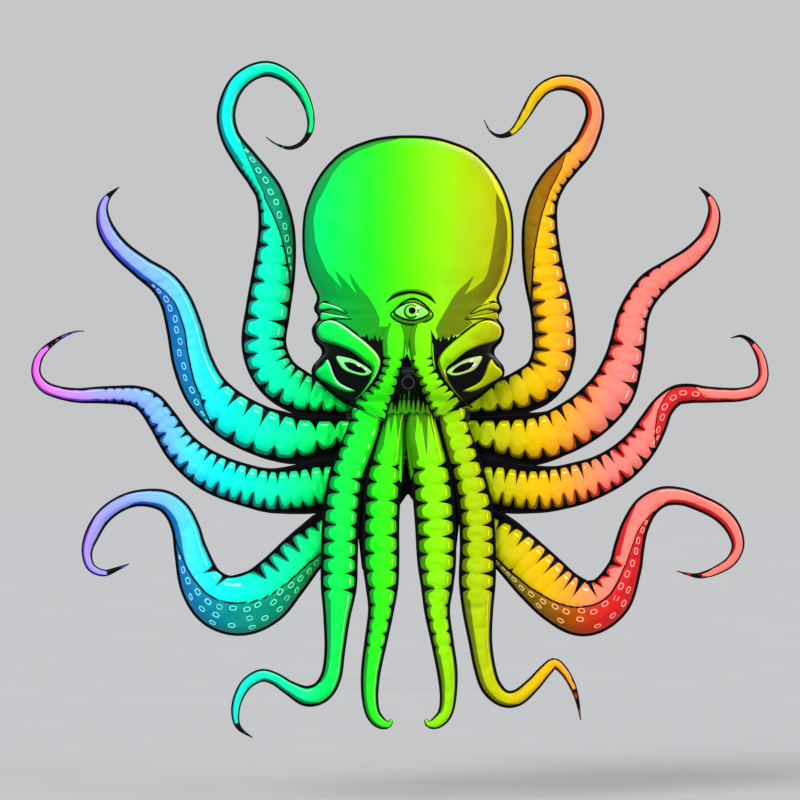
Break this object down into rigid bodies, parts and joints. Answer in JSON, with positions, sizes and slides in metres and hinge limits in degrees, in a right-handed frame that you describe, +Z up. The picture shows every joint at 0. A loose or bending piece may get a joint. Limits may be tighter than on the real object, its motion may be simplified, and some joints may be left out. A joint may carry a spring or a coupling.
{
  "type": "octopus figure kite",
  "caption": "Single-line figure kite shaped as an octopus: puffed fabric head, curling tentacles in a rainbow of colours, rods and spars behind, tow ring in front.",
  "frame": {"origin": "centre of the tow pin, in front of the face, where the flying line pulls", "axes": "+Z up, towards the crown of the head; +X to the right seen from the front; the face looks along -Y"},
  "size_m": [1.4746, 0.1805, 1.3517],
  "materials": {
    "fibreglass": "gloss",
    "black_plastic": "matte",
    "steel": "brushed",
    "skin_head": "woven",
    "skin_face_left": "woven",
    "skin_face_right": "woven",
    "skin_panel": "woven",
    "skin_upper_left": "woven",
    "skin_second_left": "woven",
    "skin_third_left": "woven",
    "skin_lower_left": "woven",
    "skin_upper_right": "woven",
    "skin_second_right": "woven",
    "skin_third_right": "woven",
    "skin_lower_right": "woven",
    "skin_front_outer_left": "woven",
    "skin_front_inner_left": "woven",
    "skin_front_inner_right": "woven",
    "skin_front_outer_right": "woven"
  },
  "bodies": {
    "root": {"head_skin": "skin_head", "body_panel": "skin_panel", "spine_spar": "fibreglass", "upper_spar": "fibreglass", "shoulder_spar": "fibreglass", "chin_spar": "fibreglass", "side_spar_left": "fibreglass", "side_spar_right": "fibreglass", "upper_connector": "black_plastic", "tow_post": "black_plastic", "chin_bracket_left": "black_plastic", "chin_bracket_right": "black_plastic", "side_connector_left": "black_plastic", "side_connector_right": "black_plastic", "spar_end_caps": "black_plastic", "brow_left": "skin_face_left", "brow_right": "skin_face_right", "eye_left": "skin_face_left", "eye_right": "skin_face_right", "third_eye": "skin_head", "nose_ridge_left": "skin_face_left", "nose_ridge_right": "skin_face_right", "tow_pin": "steel"},
    "body_upper_left": {"tentacle_upper_left": "skin_upper_left", "rod_upper_left": "fibreglass", "root_socket_upper_left": "black_plastic"},
    "body_second_left": {"tentacle_second_left": "skin_second_left", "rod_second_left": "fibreglass", "root_socket_second_left": "black_plastic"},
    "body_third_left": {"tentacle_third_left": "skin_third_left", "rod_third_left": "fibreglass", "root_socket_third_left": "black_plastic"},
    "body_lower_left": {"tentacle_lower_left": "skin_lower_left", "rod_lower_left": "fibreglass", "root_socket_lower_left": "black_plastic"},
    "body_upper_right": {"tentacle_upper_right": "skin_upper_right", "rod_upper_right": "fibreglass", "root_socket_upper_right": "black_plastic"},
    "body_second_right": {"tentacle_second_right": "skin_second_right", "rod_second_right": "fibreglass", "root_socket_second_right": "black_plastic"},
    "body_third_right": {"tentacle_third_right": "skin_third_right", "rod_third_right": "fibreglass", "root_socket_third_right": "black_plastic"},
    "body_lower_right": {"tentacle_lower_right": "skin_lower_right", "rod_lower_right": "fibreglass", "root_socket_lower_right": "black_plastic"},
    "body_front_outer_left": {"tentacle_front_outer_left": "skin_front_outer_left", "rod_front_outer_left": "fibreglass", "root_socket_front_outer_left": "black_plastic"},
    "body_front_inner_left": {"tentacle_front_inner_left": "skin_front_inner_left", "rod_front_inner_left": "fibreglass", "root_socket_front_inner_left": "black_plastic"},
    "body_front_inner_right": {"tentacle_front_inner_right": "skin_front_inner_right", "rod_front_inner_right": "fibreglass", "root_socket_front_inner_right": "black_plastic"},
    "body_front_outer_right": {"tentacle_front_outer_right": "skin_front_outer_right", "rod_front_outer_right": "fibreglass", "root_socket_front_outer_right": "black_plastic"},
    "tow_link": {"tow_ring": "steel"}
  },
  "joints": [
    {"name": "swing_upper_left", "type": "hinge", "parent": "root", "child": "body_upper_left", "pos_m": [-0.12, 0.161, 0], "axis": [0, 0, 1], "range_deg": [-35, 12], "stiffness_Nm_per_rad": 1},
    {"name": "swing_second_left", "type": "hinge", "parent": "root", "child": "body_second_left", "pos_m": [-0.12, 0.161, 0], "axis": [0, 0, 1], "range_deg": [-35, 12], "stiffness_Nm_per_rad": 1},
    {"name": "swing_third_left", "type": "hinge", "parent": "root", "child": "body_third_left", "pos_m": [-0.12, 0.161, 0], "axis": [0, 0, 1], "range_deg": [-35, 12], "stiffness_Nm_per_rad": 1},
    {"name": "swing_lower_left", "type": "hinge", "parent": "root", "child": "body_lower_left", "pos_m": [-0.12, 0.161, 0], "axis": [0, 0, 1], "range_deg": [-35, 12], "stiffness_Nm_per_rad": 1},
    {"name": "swing_upper_right", "type": "hinge", "parent": "root", "child": "body_upper_right", "pos_m": [0.12, 0.161, 0], "axis": [0, 0, -1], "range_deg": [-35, 12], "stiffness_Nm_per_rad": 1},
    {"name": "swing_second_right", "type": "hinge", "parent": "root", "child": "body_second_right", "pos_m": [0.12, 0.161, 0], "axis": [0, 0, -1], "range_deg": [-35, 12], "stiffness_Nm_per_rad": 1},
    {"name": "swing_third_right", "type": "hinge", "parent": "root", "child": "body_third_right", "pos_m": [0.12, 0.161, 0], "axis": [0, 0, -1], "range_deg": [-35, 12], "stiffness_Nm_per_rad": 1},
    {"name": "swing_lower_right", "type": "hinge", "parent": "root", "child": "body_lower_right", "pos_m": [0.12, 0.161, 0], "axis": [0, 0, -1], "range_deg": [-35, 12], "stiffness_Nm_per_rad": 1},
    {"name": "swing_front_outer_left", "type": "hinge", "parent": "root", "child": "body_front_outer_left", "pos_m": [0, 0.087, -0.092], "axis": [-1, 0, 0], "range_deg": [0, 45]},
    {"name": "swing_front_inner_left", "type": "hinge", "parent": "root", "child": "body_front_inner_left", "pos_m": [0, 0.087, -0.092], "axis": [-1, 0, 0], "range_deg": [0, 45]},
    {"name": "swing_front_inner_right", "type": "hinge", "parent": "root", "child": "body_front_inner_right", "pos_m": [0, 0.087, -0.092], "axis": [-1, 0, 0], "range_deg": [0, 45]},
    {"name": "swing_front_outer_right", "type": "hinge", "parent": "root", "child": "body_front_outer_right", "pos_m": [0, 0.087, -0.092], "axis": [-1, 0, 0], "range_deg": [0, 45]},
    {"name": "tow_ring_turn", "type": "hinge", "parent": "root", "child": "tow_link", "pos_m": [0, 0, 0], "axis": [-1, 0, 0], "range_deg": [-30, 120]}
  ]
}
